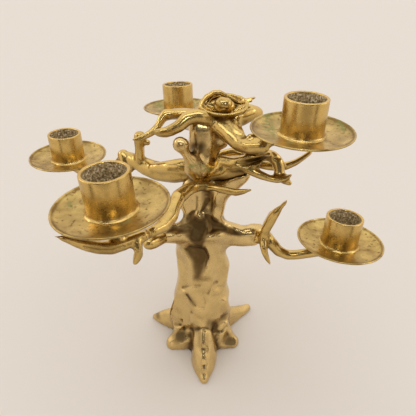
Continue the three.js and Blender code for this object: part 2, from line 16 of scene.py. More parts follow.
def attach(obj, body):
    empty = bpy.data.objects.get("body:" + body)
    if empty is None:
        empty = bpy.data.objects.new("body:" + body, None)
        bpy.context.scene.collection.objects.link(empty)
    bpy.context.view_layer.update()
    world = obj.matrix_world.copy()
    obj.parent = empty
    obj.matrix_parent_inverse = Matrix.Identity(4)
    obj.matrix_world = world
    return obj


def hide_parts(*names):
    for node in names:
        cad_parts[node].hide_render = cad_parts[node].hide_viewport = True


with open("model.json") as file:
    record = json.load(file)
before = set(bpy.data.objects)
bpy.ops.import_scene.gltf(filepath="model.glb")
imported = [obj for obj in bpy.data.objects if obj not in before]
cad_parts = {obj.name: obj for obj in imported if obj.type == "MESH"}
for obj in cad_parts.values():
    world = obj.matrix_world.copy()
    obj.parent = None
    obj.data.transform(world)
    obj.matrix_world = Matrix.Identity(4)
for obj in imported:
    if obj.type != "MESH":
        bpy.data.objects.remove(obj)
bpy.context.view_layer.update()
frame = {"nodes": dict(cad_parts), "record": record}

MM = 0.001
MOUNTS = {mount["name"]: mount for mount in frame["record"]["mounts"]}
SEAT_NAMES = [name[:-len("_candle")] for name in MOUNTS if name.endswith("_candle")]

# The foot of the trunk's axis, from the flat under the front root
REST_IN_FRONT_OF_TRUNK = 35 * MM
TRUNK_FOOT = Vector(MOUNTS["table_rest"]["pos_m"]) + Vector((0, REST_IN_FRONT_OF_TRUNK, 0))

# The camera, from the foot of the trunk: the picture is square
PICTURE_WIDTH = 416
CAMERA_PLACE = Vector((4, -296, 336)) * MM
CAMERA_TILT_DOWN = 30.72
FOCAL_LENGTH_PIXELS = 391.6
SENSOR_WIDTH_MM = 36
SHOWN_FROM = 0.01


# Camera, floor and light

def make_camera():
    """The camera of the photograph."""
    data = bpy.data.cameras.new("camera")
    data.sensor_width = SENSOR_WIDTH_MM
    data.lens = FOCAL_LENGTH_PIXELS / PICTURE_WIDTH * SENSOR_WIDTH_MM
    data.clip_start = SHOWN_FROM
    camera = bpy.data.objects.new("camera", data)
    bpy.context.scene.collection.objects.link(camera)
    camera.location = TRUNK_FOOT + CAMERA_PLACE
    camera.rotation_euler = (math.radians(90 - CAMERA_TILT_DOWN), 0, 0)
    bpy.context.scene.camera = camera
    bpy.context.view_layer.update()
    return camera


def linear(code):
    """An sRGB hex colour as linear red, green, blue and alpha."""
    parts = [int(code[i:i + 2], 16) / 255 for i in (1, 3, 5)]
    return [p / 12.92 if p <= 0.04045 else ((p + 0.055) / 1.055) ** 2.4 for p in parts] + [1]


def add_node(tree, kind, settings=None, inputs=None):
    """Adds a node with its settings, its constants and its links. A link is given as a socket."""
    node = tree.nodes.new(kind)
    for name, value in (settings or {}).items():
        setattr(node, name, value)
    for name, value in (inputs or {}).items():
        if isinstance(value, bpy.types.NodeSocket):
            tree.links.new(value, node.inputs[name])
        else:
            node.inputs[name].default_value = value
    return node


def ramp(tree, factor, stops):
    """A colour ramp on a factor, with stops of place and hex colour."""
    node = add_node(tree, "ShaderNodeValToRGB", inputs={"Fac": factor})
    elements = node.color_ramp.elements
    while len(elements) < len(stops):
        elements.new(0.5)
    for element, (place, colour) in zip(elements, stops):
        element.position = place
        element.color = linear(colour)
    return node.outputs["Color"]


def new_material(name):
    """A new material, its nodes and its shader."""
    material = bpy.data.materials.new(name)
    material.use_nodes = True
    tree = material.node_tree
    shader = next(node for node in tree.nodes if node.type == "BSDF_PRINCIPLED")
    return material, tree, shader


def mesh_object(name, mesh):
    """A mesh put in the scene."""
    piece = bpy.data.objects.new(name, mesh)
    bpy.context.scene.collection.objects.link(piece)
    return piece


def as_mesh(name, shape):
    """A bmesh shape as a mesh of its own. The shape stays."""
    mesh = bpy.data.meshes.new(name)
    shape.to_mesh(mesh)
    return mesh


def from_bmesh(name, shape):
    """An object with smooth shading, made of a shape that isn't needed any more."""
    mesh = as_mesh(name, shape)
    shape.free()
    mesh.shade_smooth()
    return mesh_object(name, mesh)


FLOOR_REACH = 14
FLOOR_COLOUR = "#DFD9D3"
FLOOR_ROUGHNESS = 0.8
FLOOR_GLOSS = 0.2


def make_floor():
    """A plain pale floor, matt like card."""
    shape = bmesh.new()
    bmesh.ops.create_grid(shape, x_segments=1, y_segments=1, size=FLOOR_REACH)
    floor = from_bmesh("floor", shape)
    material, _, shader = new_material("matt_card")
    shader.inputs["Base Color"].default_value = linear(FLOOR_COLOUR)
    shader.inputs["Roughness"].default_value = FLOOR_ROUGHNESS
    shader.inputs["Specular IOR Level"].default_value = FLOOR_GLOSS
    floor.data.materials.append(material)


# The light from all round, from straight below, 0, to straight above, 1
SURROUNDING_COLOURS = [(0.0, "#8A8178"), (0.5, "#E0D3C4"), (0.75, "#F2E9DE"), (1.0, "#FFFFFF")]
SURROUNDING_STRENGTH = 1.18


def make_world():
    """Soft, slightly warm light from all round."""
    world = bpy.data.worlds.new("soft_studio")
    bpy.context.scene.world = world
    world.use_nodes = True
    tree = world.node_tree
    background = next(node for node in tree.nodes if node.type == "BACKGROUND")
    direction = add_node(tree, "ShaderNodeTexCoord").outputs["Generated"]
    height = add_node(tree, "ShaderNodeSeparateXYZ", inputs={"Vector": direction}).outputs["Z"]
    colour = ramp(tree, stretched(tree, height, -1, 1), SURROUNDING_COLOURS)
    tree.links.new(colour, background.inputs["Color"])
    background.inputs["Strength"].default_value = SURROUNDING_STRENGTH


# Lamps and cards round the object, placed from the middle of the trunk. The lamps give shine and
# leave matt surfaces as they are. The cards are dim patches that show only as reflections.
TRUNK_MIDDLE_HEIGHT = 0.15
LAMPS = {
    "top_lamp": {"place": (0, -0.14, 0.42), "size": (0.5, 0.12), "power": 0.48},
    "left_lamp": {"place": (-0.5, 0.1, 0.36), "size": (0.3, 0.1), "power": 0.22},
    "right_lamp": {"place": (0.55, -0.05, 0.3), "size": (0.25, 0.1), "power": 0.18},
    "lamp_by_camera": {"place": (0.02, -0.37, 0.3), "size": (0.1, 0.06), "power": 0.14},
}
COOL_GREY = "#5E5C63"
WARM_GREY = "#857C73"
CARDS = {
    "room_above": {
        "place": (0, -0.3, 0.5), "size": (0.84, 0.56), "facing": (0, -0.3, 0), "grey": COOL_GREY},
    "room_in_front": {
        "place": (0, -0.58, 0.3), "size": (0.84, 0.5), "facing": (0, 0, 0.2), "grey": COOL_GREY},
    "table_in_front": {
        "place": (0, -0.74, -0.148), "size": (0.8, 0.8), "facing": (0, -0.7, 1), "grey": WARM_GREY},
    "left_front_edge": {
        "place": (-0.24, -0.24, 0.04), "size": (0.06, 0.36), "facing": (0, 0, 0.04), "grey": WARM_GREY},
    "right_front_edge": {
        "place": (0.25, -0.24, 0.04), "size": (0.06, 0.36), "facing": (0, 0, 0.04), "grey": WARM_GREY},
}


def from_trunk_middle(offset):
    return TRUNK_FOOT + Vector((0, 0, TRUNK_MIDDLE_HEIGHT)) + Vector(offset)


def make_lamp(name, place, size, power):
    """A soft lamp, aimed at the middle of the trunk, that gives only shine."""
    data = bpy.data.lights.new(name, "AREA")
    data.shape = "RECTANGLE"
    data.size, data.size_y = size
    data.energy = power
    lamp = bpy.data.objects.new(name, data)
    bpy.context.scene.collection.objects.link(lamp)
    lamp.location = from_trunk_middle(place)
    lamp.rotation_euler = (-Vector(place)).to_track_quat("-Z", "Y").to_euler()
    lamp.visible_diffuse = False


def make_card(name, place, size, facing, grey):
    """A dim card that shows only in the metal: it hides and shades nothing."""
    shape = bmesh.new()
    bmesh.ops.create_grid(shape, x_segments=1, y_segments=1, size=0.5)
    bmesh.ops.scale(shape, vec=(*size, 1), verts=shape.verts)
    turn = (Vector(facing) - Vector(place)).to_track_quat("Z", "Y").to_matrix().to_4x4()
    stand = Matrix.Translation(from_trunk_middle(place)) @ turn
    bmesh.ops.transform(shape, matrix=stand, verts=shape.verts)
    card = from_bmesh(name, shape)
    felt, _, shader = new_material(name + "_felt")
    shader.inputs["Base Color"].default_value = linear(grey)
    shader.inputs["Roughness"].default_value = 1.0
    shader.inputs["Specular IOR Level"].default_value = 0.0
    card.data.materials.append(felt)
    card.visible_camera = False
    card.visible_diffuse = False
    card.visible_shadow = False


def make_lights():
    for name, lamp in LAMPS.items():
        make_lamp(name, **lamp)
    for name, card in CARDS.items():
        make_card(name, **card)


# Finishes

def noise_at(tree, place, size_mm, detail=3.0):
    """Cloudy noise with patches of a given size."""
    inputs = {"Vector": place, "Scale": 1 / (size_mm * MM), "Detail": detail}
    return add_node(tree, "ShaderNodeTexNoise", inputs=inputs).outputs["Fac"]


def stretched(tree, value, low, high, to_low=0.0, to_high=1.0):
    """A value between two limits, stretched to two others."""
    inputs = {"Value": value, "From Min": low, "From Max": high, "To Min": to_low, "To Max": to_high}
    return add_node(tree, "ShaderNodeMapRange", inputs=inputs).outputs["Result"]


def combined(tree, operation, *values):
    """Values put through one sum. Sums that add stay between 0 and 1."""
    settings = {"operation": operation, "use_clamp": operation in ("ADD", "MULTIPLY_ADD")}
    return add_node(tree, "ShaderNodeMath", settings, dict(enumerate(values))).outputs[0]


# A mix node's sockets by number, because its kinds of value share their names
MIX_SHARE, MIX_FIRST, MIX_SECOND, MIX_RESULT = 0, 6, 7, 2


def blended(tree, share, first, second):
    """A mix of two colours."""
    inputs = {MIX_SHARE: share, MIX_FIRST: first, MIX_SECOND: second}
    mix = add_node(tree, "ShaderNodeMix", {"data_type": "RGBA"}, inputs)
    return mix.outputs[MIX_RESULT]


# What all the brass shares. Pairs of limits run from where a thing starts to where it is full.
NOISE_LIMITS = (0.3, 0.7)
BLOTCH_MM, BLOTCH_SHARE = 12, 0.1
SPECK_MM, SPECK_LIMITS = 2.6, (0.58, 0.7)
CREASE_LIMITS = (0.56, 0.95)
# Painted shade on the undersides, from where it starts to where it is full
PAINTED_UNDERSIDE_SHADE_LIMITS = (0.1, -0.8)
VERDIGRIS_MM, VERDIGRIS_LIMITS = 2.5, (0.4, 0.6)
VERDIGRIS_COLOUR, VERDIGRIS_METALLIC, VERDIGRIS_ROUGHER = "#8C8E4C", 0.2, 0.4
BROWN_ROUGHER = 0.15
SMOOTHEST, ROUGHEST = -0.04, 0.05
PIT_DEPTH = 0.15 * MM


def cast_brass(name, gold, patina_and_shade, roughness, grain_mm, painted_underside_shade=0.0, mottle=0.0, pitting=0.12,
               specks=0.0):
    """Cast yellow brass, filed and polished by hand: it gives a warm gold shine, uneven from place to place.
    Brown tarnish stays in the creases, and green verdigris in patches. Painted shade darkens the undersides,
    and marked places carry painted shade and painted dark reflections. Underside, mottle and specks are the
    shares of the brown: painted shade below, tone in blotches, and specks."""
    material, tree, shader = new_material(name)
    place = add_node(tree, "ShaderNodeTexCoord").outputs["Object"]
    cavity, painted_shade_and_reflection, green = [
        add_node(tree, "ShaderNodeAttribute", {"attribute_name": mark}).outputs["Fac"]
        for mark in ("hollowness", "painted_shade_and_reflection", "verdigris")]
    normal = add_node(tree, "ShaderNodeNewGeometry").outputs["Normal"]
    upward = add_node(tree, "ShaderNodeSeparateXYZ", inputs={"Vector": normal}).outputs["Z"]
    # Painted shade: the brass turns browner on its undersides, where shade falls
    painted_shade_below = stretched(tree, upward, *PAINTED_UNDERSIDE_SHADE_LIMITS, 0.0, painted_underside_shade)
    cloud = noise_at(tree, place, BLOTCH_MM)
    blotch = stretched(tree, cloud, *NOISE_LIMITS, -BLOTCH_SHARE, BLOTCH_SHARE + mottle)
    crease = stretched(tree, cavity, *CREASE_LIMITS)
    speck = stretched(tree, noise_at(tree, place, SPECK_MM, detail=4.0), *SPECK_LIMITS, 0.0, specks)
    # The tarnish mark holds painted shade and painted dark reflections; the specks are real
    specks_and_painted_shade = combined(tree, "ADD", painted_shade_and_reflection, speck)
    brown = combined(tree, "ADD", combined(tree, "ADD", crease, painted_shade_below), combined(tree, "ADD", blotch, specks_and_painted_shade))
    # The dark colour serves both the real brown patina and the painted shade
    metal = blended(tree, brown, linear(gold), linear(patina_and_shade))
    patches = stretched(tree, noise_at(tree, place, VERDIGRIS_MM, detail=5.0), *VERDIGRIS_LIMITS)
    patchy = combined(tree, "MULTIPLY", green, patches)
    tree.links.new(blended(tree, patchy, metal, linear(VERDIGRIS_COLOUR)), shader.inputs["Base Color"])
    tree.links.new(stretched(tree, patchy, 0, 1, 1.0, VERDIGRIS_METALLIC), shader.inputs["Metallic"])
    grain = noise_at(tree, place, grain_mm, detail=4.0)
    rough = combined(
        tree, "ADD", stretched(tree, grain, *NOISE_LIMITS, roughness + SMOOTHEST, roughness + ROUGHEST),
        combined(tree, "MULTIPLY", brown, BROWN_ROUGHER))
    rough = combined(tree, "MULTIPLY_ADD", patchy, VERDIGRIS_ROUGHER, rough)
    tree.links.new(rough, shader.inputs["Roughness"])
    pits = {"Strength": pitting, "Distance": PIT_DEPTH, "Height": grain}
    bump = add_node(tree, "ShaderNodeBump", inputs=pits)
    tree.links.new(bump.outputs["Normal"], shader.inputs["Normal"])
    return material


CRUMB_MM = 1.3
CRUMB_DEPTH = 0.4 * MM
CRUMB_STRENGTH = 0.6
WAX_ROUGHNESS = 0.5
WAX_COLOURS = [(0.34, "#5E4B31"), (0.46, "#9C865F"), (0.56, "#BEA97E"), (0.66, "#F0E6CC")]


def wax_stain():
    """Old wax and soot baked on brass: a matt speckled brown, with pale crumbs."""
    material, tree, shader = new_material("baked_wax_residue")
    place = add_node(tree, "ShaderNodeTexCoord").outputs["Object"]
    crumbs = noise_at(tree, place, CRUMB_MM, detail=4.0)
    tree.links.new(ramp(tree, crumbs, WAX_COLOURS), shader.inputs["Base Color"])
    shader.inputs["Roughness"].default_value = WAX_ROUGHNESS
    relief = {"Strength": CRUMB_STRENGTH, "Distance": CRUMB_DEPTH, "Height": crumbs}
    bump = add_node(tree, "ShaderNodeBump", inputs=relief)
    tree.links.new(bump.outputs["Normal"], shader.inputs["Normal"])
    return material


TRUNK_BRASS = cast_brass(
    "satin_cast_brass", "#DCBF82", "#66502F", roughness=0.23, grain_mm=1.6, painted_underside_shade=0.3, mottle=0.1)
BRANCH_BRASS = cast_brass(
    "polished_cast_brass", "#D6B66E", "#5F4825", roughness=0.22, grain_mm=1.2, painted_underside_shade=0.7, mottle=0.15)
PAN_BRASS = cast_brass(
    "worn_pan_brass", "#D2B670", "#85693A", roughness=0.26, grain_mm=1.0, painted_underside_shade=0.5, mottle=0.7,
    specks=0.8)
CUP_BRASS = cast_brass(
    "drawn_tube_brass", "#D9B86F", "#9A7B48", roughness=0.25, grain_mm=2.5, mottle=0.3, pitting=0.02,
    specks=0.15)
SCREW_BRASS = cast_brass("dull_screw_brass", "#B3924E", "#6A5226", roughness=0.4, grain_mm=0.8)
WAX_STAIN = wax_stain()


# Turned pieces, made about each seat's own axis

SEAT_TO_CANDLE_MOUNT = Vector((8.5, 0, 4.1)) * MM


def seat_matrix(name):
    """The frame of a seat: the middle of its boss's top face, +Z along its cup."""
    mount = MOUNTS[name + "_candle"]
    up = Vector(mount["axis"]).normalized()
    about_x = math.atan2(-up.y, up.z)
    about_y = math.asin(up.x)
    turn = Matrix.Rotation(about_x, 4, "X") @ Matrix.Rotation(about_y, 4, "Y")
    return Matrix.Translation(Vector(mount["pos_m"]) - turn @ SEAT_TO_CANDLE_MOUNT) @ turn


def spun(profile_mm, steps):
    """A closed profile of radius and height, spun full round the Z axis. Blender's own spin gives
    the faces in another order each run, so they are made ring by ring."""
    shape = bmesh.new()
    rings = []
    for step in range(steps):
        turn = Matrix.Rotation(math.tau * step / steps, 3, "Z")
        rings.append([
            shape.verts.new(turn @ Vector((radius, 0, height)) * MM) for radius, height in profile_mm])
    for ring, following in zip(rings, rings[1:] + rings[:1]):
        for i in range(len(ring)):
            shape.faces.new((ring[i - 1], following[i - 1], following[i], ring[i]))
    bmesh.ops.recalc_face_normals(shape, faces=shape.faces)
    return shape


def arc(centre, radius, start, end, count):
    """Points on an arc, from one angle to another in degrees."""
    angles = [math.radians(start + (end - start) * i / count) for i in range(count + 1)]
    return [(centre[0] + radius * math.cos(a), centre[1] + radius * math.sin(a)) for a in angles]


def finish_piece(piece, slot, material, *nodes):
    """Gives a piece its material and puts it in the place of its nodes. Its slot is not used."""
    piece.data.materials.clear()
    piece.data.materials.append(material)
    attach(piece, "root")
    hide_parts(*nodes)
    return piece


# A pan is flat under its cup, dished and turned up to a rolled edge
PAN_PROFILE = [
    (2.3, 0.3), (12, 0.3), (17, 0.3), (22, 0.75), (27.3, 1.5), (31.2, 2.5), (33.8, 3.6), (35.1, 4.3),
    *arc((35.1, 4.95), 0.65, -60, 160, 8),
    (34, 4.75), (32.4, 3.9), (30.4, 3.1), (27.3, 2.45), (22, 1.9), (17, 1.8), (12, 1.8), (2.3, 1.8),
]
# The beating: the size and height of its waves, and where it starts, is full and ends
HAND_BEATEN_MM = (11, 0.35)
BEATEN_FROM_MM, BEATEN_FULLY_MM, BEATEN_TO_MM = 17, 23, 33.5
# Dirt stays in two rings: at the foot of the cup and inside the rolled edge
PAN_CORNERS_MM = (18, 33.6)
PAN_CORNER_WIDTH_MM, PAN_CORNER_DIRT = 0.8, 0.4
PAN_STEPS = 128
# The hollowness of a place that is neither hollow nor proud
LEVEL = 0.5


def store(mesh, name, values):
    """Keeps a number for each vertex, for the materials to read."""
    attribute = mesh.attributes.new(name, "FLOAT", "POINT")
    attribute.data.foreach_set("value", values.astype(np.float32))


def seat_offsets_mm(mesh, seat_name):
    """How far each vertex lies from a seat's axis, along the seat's X and Y."""
    back = np.array(seat_matrix(seat_name).inverted())
    return (points_of(mesh) @ back[:2, :3].T + back[:2, 3]) / MM


def make_pan(seat_name, seed):
    """A drip pan, uneven from being beaten by hand."""
    shape = spun(PAN_PROFILE, PAN_STEPS)
    for corner in shape.verts:
        reach = math.hypot(corner.co.x, corner.co.y) / MM
        share = (reach - BEATEN_FROM_MM) / (BEATEN_FULLY_MM - BEATEN_FROM_MM)
        loose = min(max(share, 0), 1) * (reach < BEATEN_TO_MM)
        corner.co.z += loose * ripple([corner.co], *HAND_BEATEN_MM, seed)[0]
    bmesh.ops.transform(shape, matrix=seat_matrix(seat_name), verts=shape.verts)
    pan = from_bmesh(seat_name + "_drip_pan", shape)
    reach = np.hypot(*seat_offsets_mm(pan.data, seat_name).T)
    rings = sum(np.exp(-((reach - ring) / PAN_CORNER_WIDTH_MM) ** 2) for ring in PAN_CORNERS_MM)
    store(pan.data, "hollowness", LEVEL + PAN_CORNER_DIRT * rings)
    store_verdigris(pan.data, seat_name + "_pan")
    return finish_piece(pan, "drip_pans", PAN_BRASS, seat_name + "_pan")


# A cup's wall, with the fillet of solder round its foot
CUP_PROFILE = [
    (2.3, 2.1), (14, 2.1), (17, 1.7), (16.8, 1.95), (16.1, 2.25), (15.5, 2.8), (15.15, 3.6), (15, 4.8),
    (15, 8), (15, 14), (15, 20),
    *arc((14.2, 26.3), 0.8, 0, 90, 5), *arc((13.5, 26.3), 0.8, 90, 180, 5),
    (12.7, 20), (12.7, 12), (12.7, 4.9), (11.9, 4.1), (4.1, 4.1), (4.1, 3.5), (2.3, 3.5),
]
CUP_STEPS = 96
CUP_OUTSIDE_MM = 15
# The solder: the size and height of its waves, and how far out and up it lies
SOLDER_MM = (5, 0.9)
SOLDER_FROM_MM, SOLDER_WIDTH_MM, SOLDER_HEIGHT_MM = 15.1, 2.4, 5
# The wax stain: inside this radius, between these heights
STAIN_RADIUS_MM, STAIN_FROM_MM, STAIN_TO_MM = 12.75, 3.4, 25.6


def make_cup(seat_name, seed):
    """A candle cup: a tube soldered on by hand, with burnt wax inside."""
    shape = spun(CUP_PROFILE, CUP_STEPS)
    for corner in shape.verts:
        reach, height = math.hypot(corner.co.x, corner.co.y) / MM, corner.co.z / MM
        if reach > SOLDER_FROM_MM and height < SOLDER_HEIGHT_MM:
            wave_mm = ripple([corner.co], *SOLDER_MM, seed)[0] / MM
            swell = 1 + wave_mm * (reach - CUP_OUTSIDE_MM) / SOLDER_WIDTH_MM / reach
            corner.co.x *= swell
            corner.co.y *= swell
    stained = [i for i, face in enumerate(shape.faces) if is_inside_cup(face.calc_center_median() / MM)]
    bmesh.ops.transform(shape, matrix=seat_matrix(seat_name), verts=shape.verts)
    cup = from_bmesh(seat_name + "_candle_cup", shape)
    store_verdigris(cup.data, seat_name + "_cup")
    finish_piece(cup, "candle_cups", CUP_BRASS, seat_name + "_cup")
    cup.data.materials.append(WAX_STAIN)
    for i in stained:
        cup.data.polygons[i].material_index = 1
    return cup


def is_inside_cup(middle_mm):
    within = math.hypot(middle_mm.x, middle_mm.y) < STAIN_RADIUS_MM
    return within and STAIN_FROM_MM < middle_mm.z < STAIN_TO_MM


# Castings, smoothed from copies of the frame's solids

MERGED_WITHIN = 1e-5
CLOSED_BY = 0.2 * MM
ROUNDS_GIVEN_BACK = 2
ROUNDS_BEFORE_GROWING, ROUNDS_AFTER_GROWING = 3, 2
HOLLOW_ROUNDS = 6
HOLLOW_DEPTH = 0.65 * MM
RIPPLE_SEED_STEP = (17.3, 5.1, 11.7)


def merged_copy(node_names):
    """Copies of nodes in one shape, each grown a little, so that brazed joints close."""
    shape = bmesh.new()
    for name in node_names:
        shape.from_mesh(frame["nodes"][name].data)
    bmesh.ops.remove_doubles(shape, verts=shape.verts, dist=MERGED_WITHIN)
    shape.normal_update()
    for corner in shape.verts:
        corner.co += corner.normal * CLOSED_BY
    return shape


def remeshed(name, shape, voxel):
    """The shape as an even skin of small squares."""
    rough = from_bmesh(name + "_rough", shape)
    skin = rough.modifiers.new("skin", "REMESH")
    skin.mode = "VOXEL"
    skin.voxel_size = voxel
    evaluated = rough.evaluated_get(bpy.context.evaluated_depsgraph_get())
    mesh = bpy.data.meshes.new_from_object(evaluated)
    bpy.data.objects.remove(rough)
    mesh.name = name
    return mesh


def points_of(mesh):
    points = np.empty(len(mesh.vertices) * 3, np.float32)
    mesh.vertices.foreach_get("co", points)
    return points.reshape(-1, 3).astype(float)


def normals_of(mesh):
    normals = np.empty(len(mesh.vertices) * 3, np.float32)
    mesh.vertex_normals.foreach_get("vector", normals)
    return normals.reshape(-1, 3).astype(float)


def edges_of(mesh):
    edges = np.empty(len(mesh.edges) * 2, np.int32)
    mesh.edges.foreach_get("vertices", edges)
    return edges.reshape(-1, 2)


def set_points(mesh, points):
    mesh.vertices.foreach_set("co", points.astype(np.float32).ravel())
    mesh.update()


def neighbour_mean(values, edges):
    """For each vertex the mean of its neighbours' values."""
    count = np.bincount(edges.ravel(), minlength=len(values))
    total = np.zeros_like(values)
    for axis in range(values.shape[1]):
        column = values[:, axis]
        total[:, axis] += np.bincount(edges[:, 0], weights=column[edges[:, 1]], minlength=len(values))
        total[:, axis] += np.bincount(edges[:, 1], weights=column[edges[:, 0]], minlength=len(values))
    return total / np.maximum(count, 1)[:, None]


def softened(values, edges, rounds):
    """Values drawn halfway to their neighbours' mean, some times over."""
    for _ in range(rounds):
        values = values + 0.5 * (neighbour_mean(values, edges) - values)
    return values


def smoothed(points, edges, rounds):
    """Takes out facets. What softening takes off thick and thin alike is given back, softened."""
    result = softened(points, edges, rounds)
    for _ in range(ROUNDS_GIVEN_BACK):
        result = result + softened(points - result, edges, rounds)
    return result


def store_hollowness(mesh):
    """Marks how far each place lies in a hollow, from 0 on ridges to 1 in creases."""
    points = points_of(mesh)
    mean = softened(points, edges_of(mesh), HOLLOW_ROUNDS)
    depth = ((mean - points) * normals_of(mesh)).sum(1)
    store(mesh, "hollowness", np.clip(LEVEL + depth / HOLLOW_DEPTH, 0, 1))


def ripple(points, size_mm, height_mm, seed):
    """Soft hammer-like unevenness of a given size."""
    scale = 1 / (size_mm * MM)
    shift = Vector([seed * step for step in RIPPLE_SEED_STEP])
    heights = [noise.noise(Vector(p) * scale + shift) for p in points]
    return np.array(heights) * height_mm * MM


def offset(mesh, distance):
    set_points(mesh, points_of(mesh) + normals_of(mesh) * distance)


def grown_and_shrunk(mesh, voxel, fillet, swell):
    """Fills the inner corners of a skin: it grows and is drawn back again."""
    set_points(mesh, softened(points_of(mesh), edges_of(mesh), ROUNDS_BEFORE_GROWING))
    offset(mesh, fillet)
    shape = bmesh.new()
    shape.from_mesh(mesh)
    mesh = remeshed(mesh.name, shape, voxel)
    set_points(mesh, softened(points_of(mesh), edges_of(mesh), ROUNDS_AFTER_GROWING))
    offset(mesh, swell - fillet)
    return mesh


def filleted(name, nodes, voxel, fillet, rounds, swell):
    """A smooth skin over nodes, with rounded inner corners."""
    mesh = grown_and_shrunk(remeshed(name, merged_copy(nodes), voxel), voxel, fillet, swell)
    set_points(mesh, smoothed(points_of(mesh), edges_of(mesh), rounds))
    return mesh


def make_casting(name, groups, slot, material, voxel_mm, ripple_mm, join_mm=1.2, join_rounds=10,
                 in_clay=()):
    """One casting: smooth skins over its nodes, joined with the clay that the photograph shows on
    them, then planed, creased and rippled. Some nodes only say where their clay lies."""
    shape = bmesh.new()
    for nodes, fillet_mm, rounds, swell_mm in groups:
        shape.from_mesh(filleted(name, nodes, voxel_mm * MM, fillet_mm * MM, rounds, swell_mm * MM))
    guide = merged_copy(in_clay)
    guide.from_mesh(as_mesh("guide", shape))
    surface = BVHTree.FromBMesh(guide)
    guide.free()
    for stroke, points in CLAY.get(name, {}).items():
        add_clay(shape, surface, points, stroke in FREE_CLAY)
    mesh = remeshed(name, shape, voxel_mm * MM)
    if join_mm:
        mesh = grown_and_shrunk(mesh, voxel_mm * MM, join_mm * MM, 0)
    set_points(mesh, smoothed(points_of(mesh), edges_of(mesh), join_rounds))
    shape_by_picture(mesh, FACETS.get(name, {}), LINES.get(name, {}))
    heights = ripple(points_of(mesh), *ripple_mm, len(name))
    points = points_of(mesh) + normals_of(mesh) * heights[:, None]
    points[:, 2] = np.maximum(points[:, 2], 0)
    set_points(mesh, points)
    store_hollowness(mesh)
    store_verdigris(mesh, name)
    store_painted_shade_and_reflection(mesh, name)
    mesh.shade_smooth()
    replaced = dict.fromkeys([node for group in groups for node in group[0]] + list(in_clay))
    return finish_piece(mesh_object(name, mesh), slot, material, *replaced)


# Shaping by the photograph. Its pixels are cast through the camera on to a casting's skin.

camera = make_camera()
PICTURE_MIDDLE = PICTURE_WIDTH / 2
SEEN_WITHIN = 1.5 * MM


def place_of(pixel, depth):
    """The place behind a pixel at a depth, measured along the camera's axis."""
    x, y = pixel
    across = Vector((x - PICTURE_MIDDLE, PICTURE_MIDDLE - y, -FOCAL_LENGTH_PIXELS)) / FOCAL_LENGTH_PIXELS
    return camera.matrix_world @ (across * depth)


def pixels_of(points):
    """The pixels that places show at, and their depths."""
    inverse = np.array(camera.matrix_world.inverted())
    local = points @ inverse[:3, :3].T + inverse[:3, 3]
    depth = -local[:, 2]
    flat = local[:, :2] * [1, -1] * FOCAL_LENGTH_PIXELS / depth[:, None]
    return flat + PICTURE_MIDDLE, depth


def depth_at(surface, pixel):
    """The depth at which a surface first shows at a pixel, if it does."""
    aim = place_of(pixel, 1) - camera.location
    hit = surface.ray_cast(camera.location, aim.normalized())[0]
    return (hit - camera.location).length / aim.length if hit else None


def line_samples(points, step):
    """Rows of numbers along a line, one for each step of the picture."""
    rows = np.array(points, float)
    lengths = np.hypot(*np.diff(rows[:, :2], axis=0).T)
    walked = np.concatenate([[0], np.cumsum(lengths)])
    at = np.linspace(0, walked[-1], max(2, int(walked[-1] / step)))
    return np.stack([np.interp(at, walked, column) for column in rows.T], 1)


CLAY_STEP = 1.5
CLAY_SINK = 0.5
CLAY_BALL_DETAIL = 3
CLAY_EVENED_OVER = 5


def add_clay(shape, surface, points, free=False):
    """Lays a rounded stroke on a surface, through pixels with radii in millimetres. Its middle
    lies behind the surface by a share of its radius. Off the surface it keeps its depth, and a
    free stroke takes its depth from its two ends alone."""
    rows = line_samples(points, CLAY_STEP)
    depths = [depth_at(surface, row[:2]) for row in rows]
    found = [i for i, depth in enumerate(depths) if depth]
    if free:
        found = [found[0], found[-1]]
    depths = np.interp(range(len(rows)), found, [depths[i] for i in found])
    padded = np.pad(depths, CLAY_EVENED_OVER // 2, mode="edge")
    depths = np.convolve(padded, np.ones(CLAY_EVENED_OVER) / CLAY_EVENED_OVER, mode="valid")
    clay = bmesh.new()
    for (x, y, radius_mm), depth in zip(rows, depths):
        radius = radius_mm * MM
        middle = Matrix.Translation(place_of((x, y), depth + CLAY_SINK * radius))
        bmesh.ops.create_icosphere(clay, subdivisions=CLAY_BALL_DETAIL, radius=radius, matrix=middle)
    shape.from_mesh(as_mesh("clay", clay))
    clay.free()


def distance_to_line(pixels, line, closed=False):
    """How far pixels lie from a line."""
    corners = np.array(line, float)
    ends = np.roll(corners, -1, axis=0)
    if not closed:
        corners, ends = corners[:-1], ends[:-1]
    nearest = np.full(len(pixels), np.inf)
    for start, end in zip(corners, ends):
        along = end - start
        share = np.clip((pixels - start) @ along / (along @ along), 0, 1)
        nearest = np.minimum(nearest, np.linalg.norm(pixels - start - share[:, None] * along, axis=1))
    return nearest


def inside_outline(pixels, outline):
    """Which pixels lie inside a closed outline."""
    corners = np.array(outline, float)
    inside = np.zeros(len(pixels), bool)
    for (x0, y0), (x1, y1) in zip(corners, np.roll(corners, -1, axis=0)):
        if y0 != y1:
            crosses = (pixels[:, 1] < y0) != (pixels[:, 1] < y1)
            inside ^= crosses & (pixels[:, 0] < x0 + (pixels[:, 1] - y0) / (y1 - y0) * (x1 - x0))
    return inside


def seen_from_front(surface, points, normals, candidates):
    """Which of the candidate places the camera sees."""
    seen = []
    for i in candidates:
        towards = Vector(points[i]) - camera.location
        if towards.dot(Vector(normals[i])) < 0:
            hit = surface.ray_cast(camera.location, towards.normalized())[0]
            if hit and (hit - camera.location).length > towards.length - SEEN_WITHIN:
                seen.append(i)
    return np.array(seen, int)


